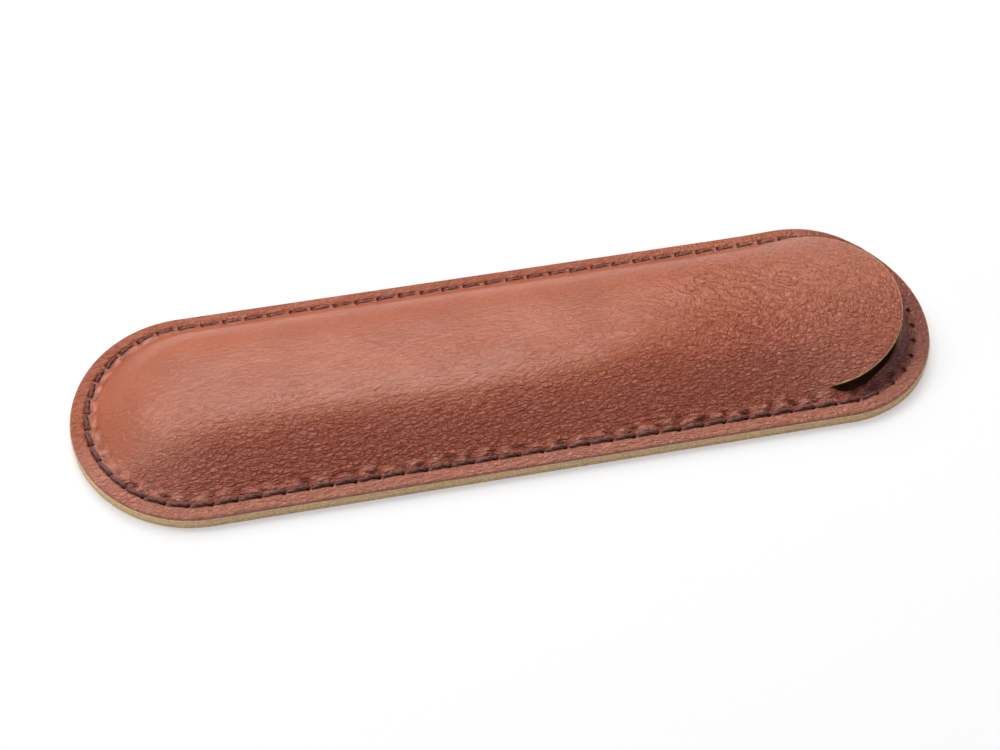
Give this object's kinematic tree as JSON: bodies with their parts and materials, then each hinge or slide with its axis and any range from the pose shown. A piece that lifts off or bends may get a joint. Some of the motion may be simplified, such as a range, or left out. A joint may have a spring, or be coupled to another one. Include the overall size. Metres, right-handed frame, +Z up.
{
  "type": "pen case",
  "caption": "Slim moulded leather pen case, sewn round its edge, with a long domed pocket and a lifting tongue over the mouth.",
  "frame": {"origin": "under the middle of the case, on the surface that it rests on", "axes": "+X along the case towards the mouth, +Z up out of the back leather, +Y across"},
  "size_m": [0.145, 0.0472, 0.0099],
  "materials": {
    "front_leather": "tan grained leather with a soft sheen",
    "back_leather": "tan grained leather with a soft sheen",
    "thread": "dark brown bonded thread"
  },
  "bodies": {
    "case": {"front_panel": "front_leather", "back_panel": "back_leather", "needle_thread": "thread", "bobbin_thread": "thread"},
    "flap": {"flap_tongue": "front_leather"}
  },
  "joints": [
    {"name": "tongue_lift", "type": "hinge", "parent": "case", "child": "flap", "pos_m": [0.05015, 0, 0.0099], "axis": [0, -1, 0], "range_deg": [0, 45], "stiffness_Nm_per_rad": 0.005}
  ]
}
